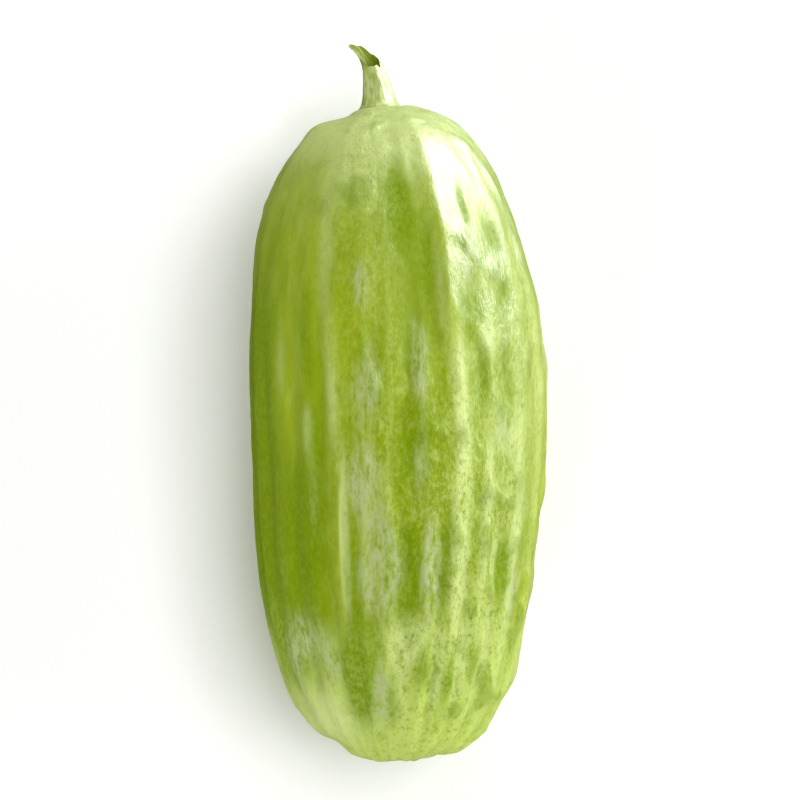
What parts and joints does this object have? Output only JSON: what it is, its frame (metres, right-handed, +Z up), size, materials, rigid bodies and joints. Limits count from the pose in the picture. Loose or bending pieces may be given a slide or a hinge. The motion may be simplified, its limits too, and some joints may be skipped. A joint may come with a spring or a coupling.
{
  "type": "snake melon",
  "caption": "Stout, pale green, ribbed melon as picked, lying on its side, with a short hooked stem torn off at a slant.",
  "frame": {"origin": "on the surface it lies on, below the middle of its bounding box", "axes": "+Z up, +Y along the fruit from its blossom end to its stem, +X to the right when looking down with the stem at the top"},
  "size_m": [0.0912, 0.2198, 0.0907],
  "materials": {
    "rind": "waxy light green rind, ribs and shoulder paler, grooves darker and more saturated, soft sheen",
    "stalk": "dull yellow-green fibrous stalk, darker and drier towards its torn end"
  },
  "bodies": {
    "root": {"fruit": "rind", "stem": "stalk"}
  },
  "joints": []
}
